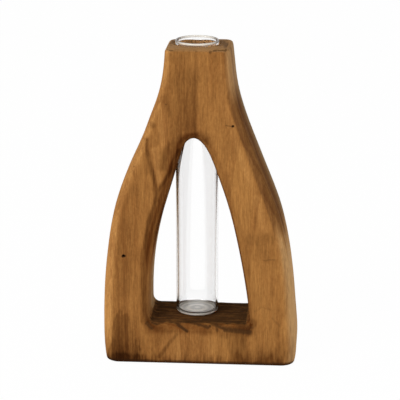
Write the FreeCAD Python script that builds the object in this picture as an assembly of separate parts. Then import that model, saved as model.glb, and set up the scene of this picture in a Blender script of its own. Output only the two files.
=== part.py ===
"""Test tube vase: a carved wooden frame with a flat-bottomed glass tube standing in it.

Millimetres. +X is to the right, -Y is the front and +Z is up. The origin is on the table,
under the middle of the frame's base. The tube drops through a hole drilled down the neck and
stands on the sill of the window that is cut through the frame.
"""
import FreeCAD, Part

import math
import os

# Wooden frame
FRAME_HEIGHT = 185.6
TOP_FALL = 1.3
BASE_WIDTH = 112.0
BASE_DEPTH = 43.0
NECK_WIDTH = 36.4
NECK_DEPTH = 36.4
NECK_SHIFT = -1.5
BASE_EDGE_ROUNDING = 7.5
NECK_EDGE_ROUNDING = 4.0
FOOT_ROUNDING = 1.6
TOP_ROUNDING = 2.4

# Window through the frame
SILL_HEIGHT = 24.8
WINDOW_HEIGHT = 109.0
WINDOW_WIDTH = 58.3
WINDOW_SHIFT = -0.45
LEFT_CORNER_ROUNDING = 4.2
RIGHT_CORNER_ROUNDING = 2.5
WINDOW_FRONT_ROUNDING = 4.7
WINDOW_BACK_ROUNDING = 5.0

# Glass tube
TUBE_DIAMETER = 24.6
TUBE_LENGTH = 161.9
TUBE_WALL = 1.1
TUBE_BOTTOM = 1.4
HEEL_ROUNDING = 2.2
LIP_SWELL = 0.12
TUBE_SHIFT_X = -2.85
TUBE_SHIFT_Y = 3.6

# Hole down the neck that guides the tube
TUBE_CLEARANCE = 0.6
HOLE_CHAMFER = 0.5

# The frame's two sides, from the bottom up, as shares: the height of each point, then how far
# each side has spread from the neck's width (0) to the base's width (1)
SIDE_HEIGHT_SHARES = (0.0, 0.025, 0.119, 0.248, 0.378, 0.487, 0.586, 0.695, 0.785, 0.864, 0.944, 1.0)
LEFT_SPREAD_SHARES = (0.958, 0.977, 0.997, 0.98, 0.912, 0.813, 0.654, 0.41, 0.236, 0.092, 0.018, 0.0)
RIGHT_SPREAD_SHARES = (0.965, 0.989, 0.98, 0.93, 0.84, 0.71, 0.535, 0.332, 0.176, 0.078, 0.03, 0.0)

# The window's two sides, from the sill up, as shares: the height of each point, then how far
# each side still is from the window's middle, where 1 is half its width
JAMB_HEIGHT_SHARES = (0.0, 0.2, 0.43, 0.66, 0.82, 0.93, 0.98)
LEFT_JAMB_SHARES = (1.0, 0.985, 0.868, 0.645, 0.465, 0.34, 0.245)
RIGHT_JAMB_SHARES = (1.014, 0.92, 0.762, 0.545, 0.345, 0.175, 0.04)
ARCH_TOP_SHARE = -0.11

OVERRUN = 5.0


def point(x, y, z):
    return FreeCAD.Vector(x, y, z)


def smooth_edge(points):
    curve = Part.BSplineCurve()
    curve.interpolate(points)
    return curve.toShape()


def line_edge(start, end):
    return Part.LineSegment(start, end).toShape()


def side_points(direction, spread_shares):
    """One side of the frame, from the bottom up: the left for -1, the right for 1."""
    neck = NECK_SHIFT + direction * NECK_WIDTH / 2
    base = direction * BASE_WIDTH / 2
    return [
        point(neck + (base - neck) * spread, 0, FRAME_HEIGHT * height)
        for height, spread in zip(SIDE_HEIGHT_SHARES, spread_shares)
    ]


def bottle_block():
    """The frame's outline cut from a thick board, before its edges are rounded."""
    left = side_points(-1, LEFT_SPREAD_SHARES)
    right = side_points(1, RIGHT_SPREAD_SHARES)
    outline = Part.Wire([
        line_edge(left[0], right[0]),
        smooth_edge(right),
        line_edge(right[-1], left[-1]),
        smooth_edge(left),
    ])
    board = Part.Face(outline).extrude(point(0, BASE_DEPTH, 0))
    board.translate(point(0, -BASE_DEPTH / 2, 0))
    return board.common(leaning_wedge())


def leaning_wedge():
    """The space between the front and back faces, which lean together towards the top. The top
    falls a little from front to back."""
    reach = BASE_WIDTH / 2 + OVERRUN
    corners = [
        point(-reach, -BASE_DEPTH / 2, 0),
        point(-reach, BASE_DEPTH / 2, 0),
        point(-reach, NECK_DEPTH / 2, FRAME_HEIGHT - TOP_FALL),
        point(-reach, -NECK_DEPTH / 2, FRAME_HEIGHT),
    ]
    side = Part.Face(Part.makePolygon(corners + corners[:1]))
    return side.extrude(point(2 * reach, 0, 0))


def round_outside(block):
    """Round the four long edges, more at the base than at the neck, then the foot and the top."""
    upright = [e for e in block.Edges if e.BoundBox.ZLength > FRAME_HEIGHT / 2]
    block = block.makeFillet(NECK_EDGE_ROUNDING, BASE_EDGE_ROUNDING, upright)
    foot = [e for e in block.Edges if e.BoundBox.ZMax < FOOT_ROUNDING / 2]
    block = block.makeFillet(FOOT_ROUNDING, foot)
    top = [e for e in block.Edges if e.BoundBox.ZMin > FRAME_HEIGHT - TOP_FALL - TOP_ROUNDING / 2]
    return block.makeFillet(TOP_ROUNDING, top)


def window_cutter():
    """The window's outline, pushed right through: a flat sill, and sides that meet in an arch."""
    half = WINDOW_WIDTH / 2
    through = BASE_DEPTH / 2 + OVERRUN

    def jamb_points(direction, jamb_shares):
        return [
            point(WINDOW_SHIFT + direction * half * share, -through, SILL_HEIGHT + WINDOW_HEIGHT * height)
            for height, share in zip(JAMB_HEIGHT_SHARES, jamb_shares)
        ]

    left = jamb_points(-1, LEFT_JAMB_SHARES)
    right = jamb_points(1, RIGHT_JAMB_SHARES)
    arch_top = point(WINDOW_SHIFT + half * ARCH_TOP_SHARE, -through, SILL_HEIGHT + WINDOW_HEIGHT)
    outline = Part.Wire([smooth_edge(right + [arch_top] + left[::-1]), line_edge(left[0], right[0])])
    cutter = Part.Face(outline).extrude(point(0, 2 * through, 0))
    for corner, radius in ((left[0], LEFT_CORNER_ROUNDING), (right[0], RIGHT_CORNER_ROUNDING)):
        edges = [
            e for e in cutter.Edges
            if e.BoundBox.YLength > through and abs(e.BoundBox.Center.x - corner.x) < radius
            and e.BoundBox.ZMax < SILL_HEIGHT + radius / 2
        ]
        cutter = cutter.makeFillet(radius, edges)
    return cutter


def window_edges(body, direction):
    """The edges around the window's opening in the front face for -1, in the back face for 1."""
    reach = WINDOW_WIDTH / 2 + WINDOW_BACK_ROUNDING
    found = []
    for edge in body.Edges:
        box = edge.BoundBox
        face = min(direction * box.YMin, direction * box.YMax)
        beside = max(abs(box.XMin - WINDOW_SHIFT), abs(box.XMax - WINDOW_SHIFT))
        level = box.ZMin > SILL_HEIGHT / 2 and box.ZMax < SILL_HEIGHT + WINDOW_HEIGHT + OVERRUN
        if face > 0 and beside < reach and level:
            found.append(edge)
    return found


def drill_hole(body):
    """Drill from the top of the neck until well inside the window, then ease the hole's mouth."""
    bottom = SILL_HEIGHT + WINDOW_HEIGHT / 2
    body = body.cut(Part.makeCylinder(
        TUBE_DIAMETER / 2 + TUBE_CLEARANCE, FRAME_HEIGHT - bottom + OVERRUN,
        point(TUBE_SHIFT_X, TUBE_SHIFT_Y, bottom),
    ))
    mouth = [
        e for e in body.Edges
        if e.BoundBox.ZMin > FRAME_HEIGHT - TOP_FALL - HOLE_CHAMFER
        and e.BoundBox.YMax < TUBE_SHIFT_Y + TUBE_DIAMETER / 2 + TUBE_CLEARANCE + HOLE_CHAMFER
        and e.BoundBox.YMin > TUBE_SHIFT_Y - TUBE_DIAMETER / 2 - TUBE_CLEARANCE - HOLE_CHAMFER
    ]
    return body.makeChamfer(HOLE_CHAMFER, mouth)


def wooden_frame():
    body = round_outside(bottle_block())
    body = body.cut(window_cutter())
    body = body.makeFillet(WINDOW_FRONT_ROUNDING, window_edges(body, -1))
    body = body.makeFillet(WINDOW_BACK_ROUNDING, window_edges(body, 1))
    return drill_hole(body)


def glass_tube():
    """Half of the tube's section, turned round its axis: a flat bottom with a rounded heel, a
    straight wall, and a lip that is melted into a bead a little thicker than the wall."""
    outer = TUBE_DIAMETER / 2
    inner = outer - TUBE_WALL
    heel = HEEL_ROUNDING
    foot = SILL_HEIGHT
    floor = foot + TUBE_BOTTOM
    top = foot + TUBE_LENGTH
    wall_middle = (outer + inner) / 2
    bead = TUBE_WALL / 2 + LIP_SWELL
    bead_foot = top - bead - math.sqrt(bead ** 2 - (TUBE_WALL / 2) ** 2)
    bow = heel * (1 - math.sqrt(0.5))

    def at(x, z):
        return point(x, 0, z)

    section = Part.Wire([
        line_edge(at(0, foot), at(outer - heel, foot)),
        Part.Arc(at(outer - heel, foot), at(outer - bow, foot + bow), at(outer, foot + heel)).toShape(),
        line_edge(at(outer, foot + heel), at(outer, bead_foot)),
        Part.Arc(at(outer, bead_foot), at(wall_middle, top), at(inner, bead_foot)).toShape(),
        line_edge(at(inner, bead_foot), at(inner, floor + heel)),
        Part.Arc(at(inner, floor + heel), at(inner - bow, floor + bow), at(inner - heel, floor)).toShape(),
        line_edge(at(inner - heel, floor), at(0, floor)),
        line_edge(at(0, floor), at(0, foot)),
    ])
    tube = Part.Face(section).revolve(point(0, 0, 0), point(0, 0, 1), 360)
    tube.translate(point(TUBE_SHIFT_X, TUBE_SHIFT_Y, 0))
    return tube


def main():
    os.makedirs("parts", exist_ok=True)
    for name, shape in (("wooden_frame", wooden_frame()), ("glass_tube", glass_tube())):
        print(name, "valid", shape.isValid(), "solids", len(shape.Solids), "volume", round(shape.Volume, 1))
        shape.exportStep(os.path.join("parts", name + ".step"))


main()
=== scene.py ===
"""Looks of the test tube vase: a carved wooden frame and the clear glass tube standing in it.

Metres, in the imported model's frame: +X is right, -Y is the front, +Z is up, the table is z = 0.
"""
import math

import bmesh
import bpy
import numpy as np
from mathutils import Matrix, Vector, noise


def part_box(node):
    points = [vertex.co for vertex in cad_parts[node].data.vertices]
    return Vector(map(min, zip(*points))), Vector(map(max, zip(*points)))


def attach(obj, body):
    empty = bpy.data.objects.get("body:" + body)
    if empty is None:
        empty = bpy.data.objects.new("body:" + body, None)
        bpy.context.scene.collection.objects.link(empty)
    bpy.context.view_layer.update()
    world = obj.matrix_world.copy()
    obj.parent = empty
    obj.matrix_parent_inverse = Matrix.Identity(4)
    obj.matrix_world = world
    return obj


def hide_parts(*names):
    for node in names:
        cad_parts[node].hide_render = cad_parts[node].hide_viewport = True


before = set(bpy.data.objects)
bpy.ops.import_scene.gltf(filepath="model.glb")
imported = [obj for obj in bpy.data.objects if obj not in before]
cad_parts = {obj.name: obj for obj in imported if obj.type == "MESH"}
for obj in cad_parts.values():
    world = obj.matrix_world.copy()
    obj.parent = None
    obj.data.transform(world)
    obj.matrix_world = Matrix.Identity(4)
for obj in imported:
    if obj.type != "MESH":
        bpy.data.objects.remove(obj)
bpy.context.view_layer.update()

MM = 0.001
MERGE_GAP = 0.001 * MM

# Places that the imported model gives
TUBE_LOW, TUBE_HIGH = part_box("glass_tube")
TUBE_X = (TUBE_LOW.x + TUBE_HIGH.x) / 2
TUBE_Y = (TUBE_LOW.y + TUBE_HIGH.y) / 2
LIP_RADIUS = (TUBE_HIGH.x - TUBE_LOW.x) / 2
SILL_HEIGHT = TUBE_LOW.z

# Glass tube
LIP_SWELL = 0.12 * MM
TUBE_RADIUS = LIP_RADIUS - LIP_SWELL
TUBE_WALL = 1.1 * MM
TUBE_BOTTOM = 1.4 * MM
TUBE_STEPS = 128
FLOOR_RING_WIDTH = 5.2 * MM

# Wooden frame
GRAIN_STEP = 0.82 * MM
WINDOW_X = -0.45 * MM
WINDOW_CORE_LOW = 45 * MM
WINDOW_CORE_HIGH = 108 * MM
ARCH_HEIGHT = 133.8 * MM
BORE_RADIUS = 12.9 * MM
STAIN_X = -45.0 * MM
STAIN_TOP = 33.0 * MM

# Growth rings: the heart of the tree lies behind the frame, a little to its right
HEART_X = 12 * MM
HEART_Y = 88 * MM
RING_WIDTH = 3.3 * MM

# Camera
CAMERA_PLACE = (0.07216, -1.04624, 0.40784)
CAMERA_TURN = 4.0
CAMERA_PITCH = 16.7
CAMERA_LENS = 171.0
CAMERA_SENSOR = 36.0

# Light: how strongly the sky lights the vase. The camera sees it white.
SKY_LIGHT = 0.55


def ease(low, high, value):
    """0 at low, 1 at high, and smooth in between, for numbers and arrays."""
    share = np.clip((value - low) / (high - low), 0.0, 1.0)
    return share * share * (3.0 - 2.0 * share)


def new_piece(name, bm):
    mesh = bpy.data.meshes.new(name)
    bm.to_mesh(mesh)
    bm.free()
    piece = bpy.data.objects.new(name, mesh)
    bpy.context.scene.collection.objects.link(piece)
    return piece


def shade_smooth(piece):
    piece.data.polygons.foreach_set("use_smooth", [True] * len(piece.data.polygons))


def vertex_places(mesh):
    places = np.zeros(len(mesh.vertices) * 3)
    mesh.vertices.foreach_get("co", places)
    return places.reshape(-1, 3)


def vertex_normals(mesh):
    normals = np.zeros(len(mesh.vertices) * 3)
    mesh.vertex_normals.foreach_get("vector", normals)
    return normals.reshape(-1, 3)


def set_places(mesh, places):
    mesh.vertices.foreach_set("co", places.ravel())
    mesh.update()


def set_attribute(mesh, name, values):
    attribute = mesh.attributes.new(name, "FLOAT", "POINT")
    attribute.data.foreach_set("value", values.astype(np.float32))


def waves(places, size, stretch=(1.0, 1.0, 1.0)):
    """Smooth noise from -1 to 1 at every place, with waves of about the given size."""
    points = (places / (np.array(stretch) * size)).tolist()
    return np.array([noise.noise(point) for point in points])


def line_gap(places, points):
    """How far each place is, seen from the front, from a line through (x, z) points in mm."""
    flat = places[:, ::2]
    points = np.array(points) * MM
    gap = np.linalg.norm(flat - points[0], axis=1)
    for start, end in zip(points, points[1:]):
        along = end - start
        share = np.clip((flat - start) @ along / (along @ along), 0.0, 1.0)
        gap = np.minimum(gap, np.linalg.norm(flat - start - share[:, None] * along, axis=1))
    return gap


class Out:
    """What a node gives out. Sums, products and powers of it add Math nodes."""

    def __init__(self, nodes, socket):
        self.nodes = nodes
        self.socket = socket

    def other(self, name):
        """Another output of the same node."""
        return Out(self.nodes, self.socket.node.outputs[name])

    def math(self, operation, *others, clamp=False):
        inputs = dict(enumerate((self,) + others))
        return self.nodes.node("Math", {"operation": operation, "use_clamp": clamp}, inputs)

    def clamped(self):
        return self.math("ADD", 0.0, clamp=True)

    def __add__(self, other):
        return self.math("ADD", other)

    __radd__ = __add__

    def __sub__(self, other):
        return self.math("SUBTRACT", other)

    def __rsub__(self, other):
        return self.math("MULTIPLY_ADD", -1.0, other)

    def __mul__(self, other):
        return self.math("MULTIPLY", other)

    __rmul__ = __mul__

    def __truediv__(self, other):
        return self.math("DIVIDE", other)

    def __pow__(self, other):
        return self.math("POWER", other)


class Nodes:
    """The nodes of a material or of the world, and the few ways they are made."""

    def __init__(self, owner):
        owner.use_nodes = True
        self.owner = owner
        self.tree = owner.node_tree
        self.tree.nodes.clear()

    def node(self, kind, settings=None, inputs=None, out=0):
        """One node: its settings first, then the value or link of each socket that is named."""
        node = self.tree.nodes.new("ShaderNode" + kind)
        for name, value in (settings or {}).items():
            setattr(node, name, value)
        for name, value in (inputs or {}).items():
            if isinstance(value, Out):
                self.tree.links.new(value.socket, node.inputs[name])
            else:
                node.inputs[name].default_value = value
        return Out(self, node.outputs[out]) if node.outputs else None

    def attribute(self, name):
        return self.node("Attribute", {"attribute_name": name}, out="Fac")

    def vector(self, operation, *inputs, out=0):
        return self.node("VectorMath", {"operation": operation}, dict(enumerate(inputs)), out)

    def noise(self, place, stretch, detail=2.0, roughness=0.5):
        """Noise from 0 to 1 that repeats about every 1 / stretch metres along each axis."""
        inputs = {"Vector": self.vector("MULTIPLY", place, stretch), "Scale": 1.0}
        inputs.update({"Detail": detail, "Roughness": roughness})
        return self.node("TexNoise", None, inputs)

    def ease(self, value, low, high):
        """0 at low, 1 at high, and smooth in between."""
        inputs = {"Value": value, "From Min": low, "From Max": high}
        return self.node("MapRange", {"interpolation_type": "SMOOTHSTEP"}, inputs)

    def mix(self, share, first, second, blend="MIX"):
        """A colour that goes from first to second with the share."""
        colours = {0: share, 6: first, 7: second}
        return self.node("Mix", {"data_type": "RGBA", "blend_type": blend}, colours, 2)

    def stroke(self, flat, start, end, width, fade):
        """A straight mark on the front, between two (x, z) points in mm: 1 within its half width,
        then fading to 0."""
        start = Vector((start[0], 0.0, start[1])) * MM
        along = Vector((end[0], 0.0, end[1])) * MM - start
        begun = self.vector("SUBTRACT", flat, start)
        share = self.vector("DOT_PRODUCT", begun, along / along.length_squared, out="Value")
        nearest = self.node("VectorMath", {"operation": "SCALE"}, {0: along, "Scale": share.clamped()})
        gap = self.vector("DISTANCE", begun, nearest, out="Value")
        return 1.0 - self.ease(gap, width * MM, (width + fade) * MM)


def material(name):
    return Nodes(bpy.data.materials.new(name))


def colour(red, green, blue):
    return (red, green, blue, 1.0)


# Wooden frame: shape


def even_mesh(piece, step):
    """Give a piece an even mesh of small squares."""
    remesh = piece.modifiers.new("even", "REMESH")
    remesh.mode = "VOXEL"
    remesh.voxel_size = step
    shown = piece.evaluated_get(bpy.context.evaluated_depsgraph_get())
    piece.data = bpy.data.meshes.new_from_object(shown)
    piece.modifiers.clear()


def wood_block():
    """The frame's own shape in an even mesh, fine enough for carving."""
    bm = bmesh.new()
    bm.from_mesh(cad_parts["wooden_frame"].data)
    bmesh.ops.remove_doubles(bm, verts=bm.verts, dist=MERGE_GAP)
    piece = new_piece("carved_frame", bm)
    even_mesh(piece, GRAIN_STEP)
    return piece


# Small holes that are carved: x, y, z and radius, in millimetres
WORM_HOLE = (-43.4, -20.2, 64.9, 0.75)
KNOT_PIT = (18.8, -18.6, 142.2, 0.5)

# Drying cracks in the top's front edge: the x of each end and the depth, in millimetres
TOP_CRACKS = ((7.0, 14.9, 0.45), (-19.2, -14.6, 0.35))

# Where the mesh is made finer for them: x, y, z and reach, in millimetres
FINE_PLACES = (
    WORM_HOLE[:3] + (2.4,),
    KNOT_PIT[:3] + (2.2,),
    (8.5, -16.6, 184.6, 2.6),
    (11.0, -16.6, 184.6, 2.6),
    (13.5, -16.6, 184.6, 2.6),
    (-17.5, -16.6, 184.4, 2.6),
    (-15.5, -16.6, 184.4, 2.6),
)


def refine(bm, places, cuts):
    """Divide the edges near some places, where finer marks are carved."""
    near = []
    for edge in bm.edges:
        middle = (edge.verts[0].co + edge.verts[1].co) / 2
        if any((middle - Vector(place[:3]) * MM).length < place[3] * MM for place in places):
            near.append(edge)
    bmesh.ops.subdivide_edges(bm, edges=near, cuts=cuts, use_grid_fill=True)


def facing_window(places, normals):
    """How far each normal points at the middle of the window: 1 on its sides, 0 on the front."""
    core = np.clip(places[:, 2], WINDOW_CORE_LOW, WINDOW_CORE_HIGH)
    towards = np.stack([WINDOW_X - places[:, 0], core - places[:, 2]], 1)
    towards /= np.linalg.norm(towards, axis=1)[:, None] + 1e-9
    return towards[:, 0] * normals[:, 0] + towards[:, 1] * normals[:, 2]


def wood_regions(places, normals):
    """Which part of the frame every vertex belongs to, from 0 to 1."""
    x, y, z = places.T
    upward = normals[:, 2]
    bore = np.hypot(x - TUBE_X, y - TUBE_Y) < BORE_RADIUS + 0.4 * MM
    bore = (bore & (z > ARCH_HEIGHT - 12 * MM) & (np.abs(upward) < 0.6)).astype(float)
    facing = facing_window(places, normals)
    near_sill = ease(SILL_HEIGHT + 5 * MM, SILL_HEIGHT + 1.5 * MM, z)
    near_sill *= ease(34 * MM, 31 * MM, np.abs(x - WINDOW_X))
    ragged = 0.07 * waves(places, 3.5 * MM) + 0.05 * waves(places, 1.5 * MM)
    left_end = ease(-19 * MM, -25 * MM, x)
    outer_right = ease(0.1, -0.1, facing) * (x > 0)
    sill = ease(0.88, 0.97, upward + ragged + 0.26 * left_end) * near_sill
    lip = ease(0.06, 0.3, upward) * near_sill * (1 - sill) * (z < SILL_HEIGHT + 1 * MM)
    inner = ease(ARCH_HEIGHT + 8 * MM, ARCH_HEIGHT + 2 * MM, z) * (1 - bore) * (1 - lip)
    turned = normals[:, 0]
    return {
        "bore": bore,
        "sill": sill,
        "lip": lip,
        "jamb": ease(-0.04, 0.18, facing) * inner * (1 - sill),
        "jamb_rim": ease(0.04, 0.2, facing) * ease(0.6, 0.35, facing) * inner,
        "jamb_deep": ease(0.45, 0.9, facing) * inner * (1 - sill),
        "right_side": ease(0.2, 0.75, turned) * outer_right * (1 - bore),
        "right_turn": ease(0.07, 0.20, turned) * outer_right * (1 - bore) * (upward < 0.7),
        "right_rim": ease(0.04, 0.14, turned) * ease(0.5, 0.3, turned) * outer_right * (upward < 0.7),
        "left_side": ease(0.05, 0.45, -turned) * ease(0.1, -0.1, facing) * (x < 0) * (1 - bore),
        "top": ease(0.3, 0.85, upward) * ease(175 * MM, 180 * MM, z) * (1 - bore),
        "front": ease(-0.1, -0.6, normals[:, 1]) * (y < 0) * (1 - bore),
    }


def carve(mesh, regions):
    """Hand work on the even block: sanded waves, a worn corner, saw ridges, cracks and holes."""
    places, normals = vertex_places(mesh), vertex_normals(mesh)
    x, y, z = places.T
    free = ease(0.5 * MM, 4 * MM, z) * (1 - regions["bore"])
    depth = 0.16 * MM * waves(places, 27 * MM, (1, 1, 1.6)) * free
    depth += 0.05 * MM * waves(places, 6 * MM, (1, 1, 2.5)) * free
    depth += 0.30 * MM * waves(places, 5 * MM) * regions["lip"]
    worn_corner = np.array((-19.7, 17.8, 184.0)) * MM
    corner_gap = np.linalg.norm(places - worn_corner, axis=1)
    depth -= 0.9 * MM * ease(5.5 * MM, 1 * MM, corner_gap)
    ridges = 0.5 + 0.5 * np.cos(2 * np.pi * y / (4.1 * MM) + 1.5 * waves(places, 16 * MM, (3, 1, 1)))
    depth -= 0.42 * MM * ridges ** 2 * regions["sill"] * (0.6 + 0.4 * waves(places, 12 * MM))
    top_front = ease(0.25, 0.5, normals[:, 2]) * ease(-15 * MM, -17 * MM, y)
    for start, end, crack_depth in TOP_CRACKS:
        ends = ease(start, start + 1.5, x / MM) * ease(end, end - 1.0, x / MM)
        middle = 184.8 * MM + 0.25 * MM * waves(places, 3 * MM) + 0.04 * (x - start * MM)
        depth -= crack_depth * MM * ends * top_front * ease(0.45 * MM, 0.1 * MM, np.abs(z - middle))
    places = places + normals * depth[:, None]
    for hole_x, hole_y, hole_z, reach in (WORM_HOLE, KNOT_PIT):
        off = np.hypot(x - hole_x * MM, z - hole_z * MM)
        near = np.abs(y - hole_y * MM) < 3 * MM
        places[:, 1] += near * 3 * reach * MM * ease(1.25 * reach * MM, 0.75 * reach * MM, off)
    set_places(mesh, places)


# Soft marks of growth on the front: the (x, z) points of a line in millimetres, half its width,
# how far it fades, and how much darker the wood is there, or lighter where that is below zero
SOFT_MARKS = (
    (((-29.5, 133.4), (-28.5, 121.8), (-26.3, 112.6), (-23.5, 98.6)), 0.4, 1.7, 0.70),
    (((-31.0, 127.6), (-29.4, 115.0)), 0.5, 2.0, 0.30),
    (((-26.7, 142.6), (-26.3, 141.6)), 0.6, 1.8, 0.55),
    (((-19.9, 158.3), (-16.5, 148.0)), 0.5, 2.4, 0.32),
    (((-15.0, 182.0), (-14.4, 178.5)), 0.5, 1.8, 0.35),
    (((-43.5, 82.0), (-43.0, 62.5), (-42.0, 45.0)), 2.0, 5.5, 0.13),
    (((-46.0, 76.0), (-45.5, 66.0)), 0.6, 1.8, 0.22),
    (((-20.5, 119.0), (-17.0, 128.0), (-11.0, 134.5), (-3.0, 136.5), (3.0, 134.0)), 1.2, 4.0, 0.52),
    (((-11.8, 128.0), (-17.5, 114.0), (-23.4, 103.6), (-28.4, 86.0), (-31.2, 70.0)), 0.3, 1.5, 0.80),
    (((-31.2, 70.0), (-32.3, 50.0), (-31.4, 36.0), (-31.4, 28.0)), 0.7, 2.0, 0.55),
    (((28.5, 76.0), (33.0, 75.0), (40.0, 77.0)), 1.8, 2.8, 0.22),
    (((31.0, 70.0), (37.0, 69.5)), 2.5, 5.0, 0.14),
    (((47.7, 70.6), (50.3, 40.7), (51.3, 13.5)), 0.4, 1.4, 0.26),
    (((22.0, 18.5), (22.5, 4.0)), 2.4, 6.0, 0.56),
    (((14.0, 17.8), (20.0, 18.4), (27.5, 19.2)), 0.8, 2.2, 0.50),
    (((-12.0, 10.5), (-1.0, 10.5)), 7.0, 6.0, -0.30),
    (((40.0, 3.0), (46.0, 6.0), (51.0, 13.0)), 2.0, 5.0, 0.30),
    (((34.0, 1.0), (49.0, 1.0)), 0.8, 2.6, 0.50),
    (((-47.5, 3.0), (-34.0, 2.0)), 1.8, 3.5, 0.80),
    (((22.0, 21.0), (28.8, 20.6), (30.4, 26.0)), 1.0, 2.4, 0.55),
    (((-30.5, 27.0), (-28.5, 22.0), (-22.0, 20.5)), 0.6, 2.4, 0.42),
    (((-31.0, 32.5), (-30.6, 26.5)), 0.8, 2.4, 0.72),
    (((-13.4, 17.9), (-18.1, 11.6), (-22.7, 4.7)), 0.4, 1.4, 0.52),
    (((-7.6, 16.2), (-6.5, 5.2)), 0.3, 1.4, 0.22),
    (((-34.0, 14.0), (-33.0, 5.0)), 0.8, 3.0, 0.22),
    (((-21.6, 153.0), (-20.6, 130.0)), 0.8, 2.6, -0.35),
    (((-24.9, 128.0), (-23.6, 110.0)), 0.7, 1.8, -0.50),
    (((13.0, 176.0), (13.5, 155.0), (19.0, 138.0)), 0.5, 2.2, -0.25),
    (((19.0, 138.0), (30.5, 106.0), (38.0, 82.0)), 0.6, 2.0, -0.30),
    (((32.0, 101.0), (37.0, 84.0)), 1.0, 3.2, -0.42),
)


def front_tints(places, bent, front):
    """The soft marks on the front, and the neck's darker left half."""
    x, _, z = places.T
    darker_wood_and_painted_shade = np.zeros(len(places))
    lighter_wood_and_painted_light = np.zeros(len(places))
    for points, width, fade, share in SOFT_MARKS:
        mark = ease((width + fade) * MM, width * MM, line_gap(bent, points)) * front
        darker_wood_and_painted_shade = np.maximum(darker_wood_and_painted_shade, mark * share)
        lighter_wood_and_painted_light = np.maximum(lighter_wood_and_painted_light, mark * -share)
    neck = ease(-0.6 * MM, -1.9 * MM, bent[:, 0]) * ease(-18 * MM, -13 * MM, x)
    neck *= ease(130 * MM, 142 * MM, z) * (0.55 + 0.45 * ease(178 * MM, 168 * MM, z))
    return {"darker_wood_and_painted_shade": np.maximum(darker_wood_and_painted_shade, 0.46 * neck * front), "lighter_wood_and_painted_light": lighter_wood_and_painted_light}


def low_stain(places, bent):
    """The dark stain low on the left leg. It widens downwards and has a ragged edge."""
    x, y, z = places.T
    down = STAIN_TOP - bent[:, 2]
    reach = 2.6 * MM + 0.27 * np.maximum(down, 0.0)
    ragged = 2.2 * MM * waves(places, 4.0 * MM, (1, 1, 2)) + 1.3 * MM * waves(places, 1.6 * MM, (1, 1, 3))
    gap = np.abs(bent[:, 0] - STAIN_X - 0.06 * down) + ragged
    stain = ease(reach + 0.4 * MM, reach - 0.6 * MM, gap)
    stain *= ease(0.0, 1.5 * MM, down + 1.5 * ragged - 1.5 * MM) * (x < 0) * (y < 0)
    return stain * (0.62 + 0.38 * ease(20 * MM, 5 * MM, z))


def worn_foot(places, front):
    """Dark fibres that climb the front from the foot, higher at the right."""
    x, _, z = places.T
    height_share = 1.0 + 0.8 * ease(5 * MM, 40 * MM, x)
    fibres = 4.0 * MM * waves(places, 1.7 * MM, (1, 1, 6))
    return ease(7.0 * MM, 0.5 * MM, z / height_share + fibres) * front


def window_tints(places, wander, regions):
    """Red-brown sides, arch and lip, with painted shade and light on the window's sides: painted shade
    near the sill, along the left side's front edge and up towards the arch, painted light on the left
    side's inner face, and a painted backlight at its back edge.
    """
    x, y, z = places.T
    jamb, deep, lip, front = (regions[name] for name in ("jamb", "jamb_deep", "lip", "front"))
    left = x < WINDOW_X
    right = x >= WINDOW_X
    behind = ease(-8 * MM, 6 * MM, y)
    low = ease(72 * MM, 52 * MM, z)
    under_arch = ease(122 * MM, 104 * MM, z)
    painted_backlight = jamb * left * behind * under_arch
    apron = front * ease(16.5 * MM, 20 * MM, z + 0.6 * wander) * (z < SILL_HEIGHT)
    apron *= ease(34 * MM, 30.5 * MM, np.abs(x - WINDOW_X))
    # The red-brown of the sides and the arch is partly the wood's darker colour and partly painted shade
    # inside the window; on the right side it is painted shade. The lip and the apron below it are
    # red-brown wood.
    red = np.maximum.reduce([
        jamb * left * (0.85 - 0.40 * low) * (1 - 0.8 * behind * under_arch),
        jamb * ease(112 * MM, 124 * MM, z) * 0.50,
        jamb * right * 0.30,
        deep * right * 0.8,
        lip * (0.68 + 0.2 * ease(2 * MM, 26 * MM, x)),
        apron * 0.46,
    ])
    # Painted shade: darker where the sides meet the sill, along the left side's front edge and up towards
    # the arch.
    darker_wood_and_painted_shade = np.maximum.reduce([
        jamb * ease(5.5 * MM, 0.5 * MM, z - SILL_HEIGHT) * 0.55,
        regions["jamb_rim"] * left * (0.45 - 0.10 * low) * under_arch,
        deep * left * (1 - under_arch) * 0.3,
        deep * left * ease(-11 * MM, -15 * MM, y) * ease(66 * MM, 80 * MM, z) * 0.6,
    ])
    # Painted light: the left side's inner face made lighter, most low down, and a painted backlight on
    # its back edge, where it faces the white backdrop.
    lighter_wood_and_painted_light = np.maximum(deep * left * under_arch * (0.45 + 0.55 * low), painted_backlight)
    return {"red": red, "darker_wood_and_painted_shade": darker_wood_and_painted_shade, "lighter_wood_and_painted_light": lighter_wood_and_painted_light, "top": painted_backlight}


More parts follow.
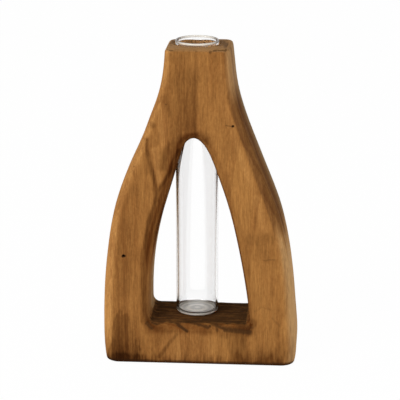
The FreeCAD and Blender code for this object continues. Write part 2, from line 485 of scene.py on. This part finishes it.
def flank_tints(places, wander, regions):
    """The outer sides: a painted highlight on the left and a painted sheen low on the right, red-brown to
    grey high on the right, partly painted shade, with dark streaks."""
    _, y, z = places.T
    turn, side = regions["right_turn"], regions["right_side"]
    feather = 9 * MM * waves(places, 4 * MM, (1, 1, 8)) + 5 * MM * waves(places, 1.5 * MM, (1, 1, 10))
    high = ease(60 * MM, 90 * MM, z + feather)
    flank = turn * high
    below_neck = ease(168 * MM, 150 * MM, z)
    streak = np.exp(-((y + 6.5 * MM + 2.0 * wander) / (4.5 * MM)) ** 2)
    fine_streak = np.exp(-((y + 12.5 * MM + 1.5 * wander) / (1.2 * MM)) ** 2) * below_neck
    painted_left_highlight = (0.65 + 0.35 * ease(110 * MM, 80 * MM, z)) * ease(6 * MM, 26 * MM, z)
    # Painted light: a highlight on the left side, which faces the key lamp, a pale sheen low on the right
    # and round the neck's right, and a painted backlight at the back of the right flank.
    lighter_wood_and_painted_light = np.maximum.reduce([
        regions["left_side"] * painted_left_highlight,
        turn * (1 - high) * (0.5 + 0.6 * side),
        turn * (1 - below_neck) * 0.6,
        flank * ease(3 * MM, 11 * MM, y) * 0.5,
    ])
    # The dark high on the right flank is partly dark grain streaks and partly painted shade of a side
    # turned from the key lamp; the neck's right edge gets painted shade.
    darker_wood_and_painted_shade = np.maximum(
        flank * (0.12 * below_neck + 0.43 * np.maximum(streak, 0.7 * fine_streak)),
        regions["right_rim"] * ease(132 * MM, 150 * MM, z) * 0.25,
    )
    return {
        # Red-brown high on the right flank: partly the wood's colour, partly painted shade.
        "red": flank * (0.10 + 0.52 * below_neck) * (1.0 - 0.6 * ease(2 * MM, 11 * MM, y)),
        "darker_wood_and_painted_shade": darker_wood_and_painted_shade,
        "lighter_wood_and_painted_light": lighter_wood_and_painted_light,
        "grey": flank * (0.15 + 0.6 * ease(-2 * MM, 9 * MM, y)),
        # Painted sheen: the right side made pale low down and near the neck.
        "top": side * np.maximum((1 - high) * 0.95, (1 - below_neck) * 0.7),
    }


def tints(places, regions):
    """How dark, light, red or grey the wood is at every vertex, with the sill's near black end grain, the
    pale bore, and the painted light, sheen, shade and foot shadow.
    """
    front, top, lip = regions["front"], regions["top"], regions["lip"]
    wander = 1.1 * MM * waves(places, 7 * MM, (1, 1, 2.5)) + 0.5 * MM * waves(places, 2.5 * MM, (1, 1, 3))
    bent = places + wander[:, None] * np.array((1.0, 0.0, 0.6))
    parts = (
        front_tints(places, bent, front),
        window_tints(places, wander, regions),
        flank_tints(places, wander, regions),
    )

    def most(name):
        return np.maximum.reduce([part[name] for part in parts if name in part])

    # Painted shadow: a dark band along the foot's bottom edge, where the frame meets the table, darker on
    # the front.
    edge = ease(1.9 * MM, 0.9 * MM, np.abs(places[:, 2] - 0.8 * MM) + 0.3 * wander)
    return {
        "darker_wood_and_painted_shade": np.clip(most("darker_wood_and_painted_shade") + 0.6 * worn_foot(places, front), 0, 1),
        "lighter_wood_and_painted_light": most("lighter_wood_and_painted_light"),
        "red": most("red"),
        "grey": most("grey"),
        "stain": low_stain(places, bent),
        "dark_sill_and_painted_shade": regions["sill"],
        "bore_painted_light": regions["bore"],
        "edge": edge * (0.6 + 0.4 * front),
        "top": np.maximum(top, most("top")),
        "marked": np.maximum.reduce([front, lip, top]),
    }


# Wooden frame: finish

BROWN = colour(0.235, 0.094, 0.024)
GOLD = colour(0.385, 0.175, 0.047)
# DEEP darkens the dark grain marks, the stain, and the painted shade.
DEEP = colour(0.35, 0.29, 0.25)
# BRIGHT lifts the lighter wood marks and the painted light, highlights and backlight.
BRIGHT = colour(1.55, 1.70, 1.90)
RED_BROWN = colour(0.132, 0.042, 0.009)
# Near black: the sill's dark end grain with painted shade under the neck, and the fine marks with painted
# shade in their holes and cracks.
DARKEST_WOOD_AND_PAINTED_SHADE = colour(0.053, 0.023, 0.008)
GREY_WOOD = colour(0.190, 0.125, 0.062)
# A pale grey-brown that paints the sheen of the top face under the top light, the backlight on the left
# side's back edge, and the sheen low on the right.
PAINTED_SHEEN_WOOD = colour(0.335, 0.188, 0.077)
# Pale wood inside the bore, brightened as painted light against the shade inside it.
PALE_BORE_AND_PAINTED_LIGHT = colour(0.660, 0.350, 0.150)
# Painted contact shadow along the foot's bottom edge.
PAINTED_FOOT_SHADOW = colour(0.030, 0.011, 0.004)

# Fine marks on the front: two (x, z) ends in millimetres, half the width, how far it fades, and how dark
# it is. The worm hole, the knot pit and the top cracks are painted near black as painted shade inside
# them; the rest are dark marks in the grain.
FINE_MARKS = (
    ((-43.5, 64.9), (-43.3, 64.9), 0.7, 0.5, 1.0),
    ((18.7, 142.2), (18.9, 142.2), 0.4, 0.6, 0.95),
    ((14.6, 142.6), (18.6, 142.2), 0.08, 0.3, 0.55),
    ((-37.1, 117.6), (-36.9, 117.6), 0.15, 0.4, 0.6),
    ((-18.9, 154.3), (-18.7, 154.3), 0.15, 0.35, 0.6),
    ((36.9, 64.1), (43.2, 64.5), 0.08, 0.7, 0.30),
    ((42.0, 29.4), (46.0, 25.2), 0.1, 0.8, 0.20),
    ((32.0, 33.5), (36.0, 36.0), 0.1, 0.9, 0.16),
    ((36.0, 36.0), (41.5, 34.6), 0.1, 0.9, 0.18),
    ((-15.0, 25.4), (-7.0, 20.4), 0.35, 1.0, 0.92),
    ((-30.5, 24.6), (-27.5, 21.5), 0.3, 1.2, 0.75),
    ((7.0, 24.8), (16.0, 21.6), 0.35, 1.2, 0.85),
    ((15.0, 21.8), (29.0, 20.6), 0.6, 1.6, 0.78),
    ((-6.0, 25.2), (5.0, 22.6), 0.25, 1.0, 0.80),
    ((9.0, 24.8), (10.5, 21.0), 0.2, 1.0, 0.65),
    ((5.8, 23.3), (6.2, 23.3), 0.3, 0.6, 0.85),
    ((22.0, 24.0), (30.0, 23.2), 0.3, 1.3, 0.40),
    ((7.5, 184.7), (14.6, 185.0), 0.08, 0.5, 0.70),
    ((-19.0, 184.7), (-14.8, 184.6), 0.05, 0.5, 0.60),
    ((5.8, 183.9), (6.4, 183.9), 0.2, 0.9, 0.60),
)


def fine_marks(wood, place):
    """All fine marks of the front as one share."""
    sway = wood.node("TexNoise", None, {"Vector": place, "Scale": 420.0, "Detail": 2.0}, "Color")
    sway = wood.vector("SUBTRACT", sway, (0.5, 0.5, 0.5))
    swayed = wood.vector("MULTIPLY_ADD", sway, (1.2 * MM, 0.0, 1.6 * MM), place)
    flat = wood.vector("MULTIPLY", swayed, (1.0, 0.0, 1.0))
    marks = wood.attribute("marked") * 0.0
    for start, end, width, fade, share in FINE_MARKS:
        marks = marks.math("MAXIMUM", wood.stroke(flat, start, end, width, fade) * share)
    return marks * wood.attribute("marked")


def wood_grain(wood, place):
    """The wood's figure as noises from 0 to 1, from a slow sway to fine fibres."""
    return {
        "sway": wood.noise(place, (38, 38, 7), 2),
        "broad": wood.noise(place, (60, 60, 9), 3, 0.55),
        "streaks": wood.noise(place, (260, 260, 15), 4, 0.62),
        "lines": wood.noise(place, (1000, 1000, 80), 3, 0.7),
        "fibres": wood.noise(place, (2400, 2400, 110), 3, 0.7),
        "mottle": wood.noise(place, (800, 800, 400), 3, 0.75),
        "ridges": wood.noise(place, (75, 460, 460), 5, 0.75),
    }


def growth_ring(x, y, grain):
    """From 0 to 1 across each growth ring round the heart of the tree."""
    across = x - HEART_X
    behind = y - HEART_Y
    radius = (across * across + behind * behind) ** 0.5
    return (radius / RING_WIDTH + grain["sway"] * 3.2 + grain["streaks"] * 0.35 + 0.45).math("FRACT")


def clean_wood(wood, x, z, grain, late_wood):
    """The colour of clean wood, a little lighter down the right leg and near the foot."""
    right_leg = wood.ease(x, 2 * MM, 18 * MM) * wood.ease(z, 172 * MM, 118 * MM)
    low = wood.ease(z, 75 * MM, 35 * MM)
    tone = 0.42 + (grain["broad"] - 0.5) * 1.7 + (grain["streaks"] - 0.5) * 0.9
    tone = tone + (grain["lines"] - 0.5) * 1.0 + (grain["mottle"] - 0.5) * 1.4
    tone = tone + right_leg * 0.22 + low * 0.12 - late_wood * 0.30
    return wood.mix(tone.clamped(), BROWN, GOLD)


def tinted_wood(wood, body, grain, late_wood):
    """The same with its red-brown, grey, pale and dark places, which the grain breaks up, and the painted
    light, sheen and shade among them.
    """
    streaks = grain["streaks"]
    grooves = wood.ease(streaks * 0.6 + grain["lines"] * 0.4, 0.62, 0.38)
    red = wood.attribute("red") * (0.70 + 0.35 * late_wood + 0.35 * grooves)
    body = wood.mix(red.clamped(), body, RED_BROWN)
    body = wood.mix(wood.attribute("grey") * (0.6 + 0.6 * streaks), body, GREY_WOOD)
    # Painted sheen on the top face and the sides.
    body = wood.mix(wood.attribute("top") * 0.7, body, PAINTED_SHEEN_WOOD)
    # Lighter grain marks, with the painted light, highlights and backlight on the sides.
    body = wood.mix(wood.attribute("lighter_wood_and_painted_light") * (0.5 + streaks), body, BRIGHT, "MULTIPLY")
    # Dark grain marks and fibres, with the painted shade of the window and the flank.
    darker_wood_and_painted_shade = wood.attribute("darker_wood_and_painted_shade") * (0.70 + 0.65 * grooves)
    body = wood.mix(darker_wood_and_painted_shade.clamped(), body, DEEP, "MULTIPLY")
    stain = wood.attribute("stain") * (0.45 + 0.6 * grooves)
    return wood.mix(stain.clamped(), body, DEEP, "MULTIPLY")


def darkened_and_bore_wood(wood, body, place, x, grain):
    """The same with its fine marks, the sill's dark end grain with painted shade under the neck, the
    painted shadow along the foot, and the pale bore with painted light.
    """
    body = wood.mix(fine_marks(wood, place), body, DARKEST_WOOD_AND_PAINTED_SHADE)
    worn = 0.62 - wood.ease(x, -12 * MM, 12 * MM) * 0.34
    # The sill: dark end grain and painted shade, lighter on the saw ridges.
    dark_sill_and_painted_shade = wood.attribute("dark_sill_and_painted_shade") * (1.0 - wood.ease(grain["ridges"], 0.42, 0.75) * worn)
    body = wood.mix(dark_sill_and_painted_shade, body, DARKEST_WOOD_AND_PAINTED_SHADE)
    # Painted shadow along the foot.
    body = wood.mix(wood.attribute("edge") * 0.85, body, PAINTED_FOOT_SHADOW)
    # Painted light in the bore.
    return wood.mix(wood.attribute("bore_painted_light") * (0.55 + 0.4 * grain["streaks"]), body, PALE_BORE_AND_PAINTED_LIGHT)


def carved_wood():
    wood = material("carved_wood")
    place = wood.node("TexCoord", out="Object")
    x = wood.node("SeparateXYZ", None, {0: place})
    grain = wood_grain(wood, place)
    ring = growth_ring(x, x.other("Y"), grain)
    late_wood = wood.ease(ring, 0.45, 0.93) * (1.0 - wood.ease(ring, 0.95, 1.0))

    body = clean_wood(wood, x, x.other("Z"), grain, late_wood)
    body = tinted_wood(wood, body, grain, late_wood)
    body = darkened_and_bore_wood(wood, body, place, x, grain)
    fine = 0.76 + wood.ease(grain["fibres"], 0.25, 0.75) * 0.40
    shade = wood.node("CombineColor", None, {0: fine, 1: fine, 2: fine})
    body = wood.mix(1.0, body, shade, "MULTIPLY")

    dull = wood.attribute("dark_sill_and_painted_shade") + wood.attribute("red") + wood.attribute("edge")
    roughness = 0.58 + grain["fibres"] * 0.2 + dull * 0.3
    height = grain["fibres"] * 0.5 + grain["lines"] * 0.5 + ring * 0.15
    bump = wood.node("Bump", None, {"Height": height, "Distance": 0.22 * MM, "Strength": 0.5})
    shader = wood.node("BsdfPrincipled", None, {
        "Base Color": body, "Roughness": roughness.clamped(), "Normal": bump, "Specular IOR Level": 0.02,
    })
    wood.node("OutputMaterial", None, {"Surface": shader})
    return wood.owner


def smoothed(piece):
    """Take the steps out of the even mesh, then make it finer where small marks are carved."""
    bm = bmesh.new()
    bm.from_mesh(piece.data)
    for _ in range(2):
        bmesh.ops.smooth_vert(
            bm, verts=bm.verts, factor=0.5, use_axis_x=True, use_axis_y=True, use_axis_z=True,
        )
    refine(bm, FINE_PLACES, 2)
    bm.to_mesh(piece.data)
    bm.free()
    return piece


def carved_frame():
    piece = smoothed(wood_block())
    places = vertex_places(piece.data)
    regions = wood_regions(places, vertex_normals(piece.data))
    carve(piece.data, regions)
    for name, values in tints(places, regions).items():
        set_attribute(piece.data, name, values)
    shade_smooth(piece)
    piece.data.materials.clear()
    piece.data.materials.append(carved_wood())
    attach(piece, "frame")
    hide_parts("wooden_frame")


# Glass tube

# A brown-grey that paints the dark reflections in the glass's edges.
PAINTED_EDGE_REFLECTION = colour(0.34, 0.27, 0.20)
# A warm white that paints the bright light in the lip, the floor and the heel, and a dark brown for the
# painted outline of the lip's bead.
PAINTED_HIGHLIGHT_WHITE = colour(1.0, 0.95, 0.85)
PAINTED_BEAD_OUTLINE = colour(0.16, 0.12, 0.09)


def clear_glass():
    glass = material("clear_glass")
    x = glass.node("SeparateXYZ", None, {0: glass.node("TexCoord", out="Object")})
    at_lip = glass.ease(x.other("Z"), TUBE_HIGH.z - 4 * MM, TUBE_HIGH.z - 3 * MM)
    # Painted reflection: the clear glass turns brown-grey where it turns from the camera, most on its
    # left, standing for the wood and the room seen in its edges.
    turned = glass.node("LayerWeight", None, {"Blend": 0.5}, "Facing")
    painted_dark_edge = glass.ease(turned, 0.50, 0.85)
    painted_dark_edge = painted_dark_edge * (1.0 - 0.72 * glass.ease(x, TUBE_X - 6 * MM, TUBE_X + 6 * MM))
    painted_edge_tint = glass.mix(painted_dark_edge, colour(1.0, 1.0, 1.0), PAINTED_EDGE_REFLECTION)
    # Painted highlight on the lip: white, with a painted dark outline where the bead turns from the
    # camera.
    painted_bead_colour = glass.mix(glass.ease(turned, 0.20, 0.70) * at_lip, PAINTED_HIGHLIGHT_WHITE, PAINTED_BEAD_OUTLINE)
    clear = glass.node("BsdfPrincipled", None, {
        "Base Color": painted_edge_tint, "Roughness": 0.0, "IOR": 1.5, "Transmission Weight": 1.0,
    })
    painted_glass_highlight = glass.node("BsdfPrincipled", None, {
        "Base Color": painted_bead_colour, "Roughness": 0.3, "IOR": 1.5,
    })
    # The painted highlight replaces the clear glass where the attribute says.
    shader = glass.node("MixShader", None, {0: glass.attribute("painted_glass_highlight"), 1: clear, 2: painted_glass_highlight})
    glass.node("OutputMaterial", None, {"Surface": shader})
    return glass.owner


def tube_section(bm):
    """Half of the tube's section as one line, from under its bottom to the top of its floor. Each
    corner is its distance from the axis, its height and how far it is rounded."""
    inner = TUBE_RADIUS - TUBE_WALL
    foot = SILL_HEIGHT
    floor = foot + TUBE_BOTTOM
    lip = TUBE_HIGH.z
    corners = (
        (0.0, foot + 0.35 * MM, 0.0),
        (8.0 * MM, foot + 0.25 * MM, 2.0 * MM),
        (9.6 * MM, foot, 0.6 * MM),
        (TUBE_RADIUS, foot, 2.2 * MM),
        (TUBE_RADIUS, lip - 2.4 * MM, 0.5 * MM),
        (LIP_RADIUS, lip - 1.4 * MM, 0.5 * MM),
        (LIP_RADIUS, lip, 0.66 * MM),
        (inner - LIP_SWELL, lip, 0.66 * MM),
        (inner - LIP_SWELL, lip - 1.4 * MM, 0.5 * MM),
        (inner, lip - 2.4 * MM, 0.5 * MM),
        (inner, floor, 2.2 * MM),
        (6.4 * MM, floor - 0.25 * MM, 1.8 * MM),
        (3.2 * MM, floor + 0.30 * MM, 1.5 * MM),
        (0.0, floor + 0.05 * MM, 0.0),
    )
    verts = [bm.verts.new((TUBE_X + away, TUBE_Y, height)) for away, height, _ in corners]
    for first, second in zip(verts, verts[1:]):
        bm.edges.new((first, second))
    for vert, (_, _, rounding) in zip(verts, corners):
        if rounding:
            bmesh.ops.bevel(
                bm, geom=[vert], offset=rounding, offset_type="OFFSET", segments=6, profile=0.5,
                affect="VERTICES", material=-1,
            )


def painted_highlight_shares(places):
    """How much painted highlight the clear glass has at every vertex: a white band on its lip, its thick
    floor in rings, and its heel, standing for the light that the glass bends and reflects.
    """
    x, y, z = places.T
    height = z - SILL_HEIGHT
    away = np.hypot(x - TUBE_X, y - TUBE_Y)
    lip = ease(TUBE_HIGH.z - 1.3 * MM, TUBE_HIGH.z - 0.9 * MM, z)
    rings = 0.5 + 0.5 * np.cos(2 * np.pi * away / FLOOR_RING_WIDTH)
    floor = ease(TUBE_RADIUS - 1.6 * MM, TUBE_RADIUS - 2.6 * MM, away) * (0.50 + 0.34 * rings)
    floor *= (height > 0.6 * MM) * (height < 4 * MM)
    heel = ease(2.0 * MM, 1.4 * MM, height) * ease(0.1 * MM, 0.5 * MM, height)
    heel *= away > TUBE_RADIUS - 1.5 * MM
    return np.maximum.reduce([0.75 * lip, floor, 0.9 * heel])


def clear_tube():
    bm = bmesh.new()
    tube_section(bm)
    bmesh.ops.spin(
        bm, geom=bm.verts[:] + bm.edges[:], cent=(TUBE_X, TUBE_Y, 0.0), axis=(0.0, 0.0, 1.0),
        angle=2 * math.pi, steps=TUBE_STEPS, use_merge=True,
    )
    bmesh.ops.remove_doubles(bm, verts=bm.verts, dist=MERGE_GAP)
    bmesh.ops.recalc_face_normals(bm, faces=bm.faces)
    piece = new_piece("clear_tube", bm)
    set_attribute(piece.data, "painted_glass_highlight", painted_highlight_shares(vertex_places(piece.data)))
    shade_smooth(piece)
    piece.data.materials.append(clear_glass())
    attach(piece, "tube")
    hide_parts("glass_tube")


# Camera, light and floor


def camera():
    data = bpy.data.cameras.new("camera")
    data.lens = CAMERA_LENS
    data.sensor_width = CAMERA_SENSOR
    data.clip_start = 0.05
    data.clip_end = 50.0
    holder = bpy.data.objects.new("camera", data)
    bpy.context.scene.collection.objects.link(holder)
    holder.location = CAMERA_PLACE
    holder.rotation_euler = (math.radians(90 - CAMERA_PITCH), 0.0, math.radians(CAMERA_TURN))
    bpy.context.scene.camera = holder


def lamp(name, place, size, power):
    """A soft square lamp that shines at the middle of the vase."""
    data = bpy.data.lights.new(name, "AREA")
    data.size = size
    data.energy = power
    holder = bpy.data.objects.new(name, data)
    bpy.context.scene.collection.objects.link(holder)
    holder.location = place
    aim = Vector((0.0, 0.0, 0.09)) - Vector(place)
    holder.rotation_euler = aim.to_track_quat("-Z", "Y").to_euler()


def seen_rays(nodes):
    """1 for rays from the camera and rays that glass or gloss sends on."""
    camera_ray = nodes.node("LightPath", out="Is Camera Ray")
    sent_on = camera_ray.other("Is Glossy Ray") + camera_ray.other("Is Transmission Ray")
    return (camera_ray + sent_on).clamped()


def floor_white():
    floor = material("floor_white")
    plain = floor.node("BsdfDiffuse", None, {"Color": colour(0.9, 0.9, 0.9)})
    white = floor.node("Emission", None, {"Color": colour(1.0, 1.0, 1.0), "Strength": 1.0})
    shown = floor.node("MixShader", None, {0: seen_rays(floor) * 0.98, 1: plain, 2: white})
    floor.node("OutputMaterial", None, {"Surface": shown})
    return floor.owner


def floor():
    bm = bmesh.new()
    bmesh.ops.create_grid(bm, x_segments=1, y_segments=1, size=6.0)
    piece = new_piece("floor", bm)
    piece.data.materials.append(floor_white())


def studio():
    world = Nodes(bpy.data.worlds.new("studio"))
    bpy.context.scene.world = world.owner
    strength = seen_rays(world) * (1.0 - SKY_LIGHT) + SKY_LIGHT
    sky = world.node("Background", None, {"Color": colour(1.0, 1.0, 1.0), "Strength": strength})
    world.node("OutputWorld", None, {"Surface": sky})
    lamp("key", (-0.75, -0.95, 0.95), 0.7, 12.0)
    lamp("fill", (0.95, -0.8, 0.5), 0.8, 3.0)
    bpy.context.scene.view_settings.view_transform = "Standard"


camera()
studio()
floor()
carved_frame()
clear_tube()
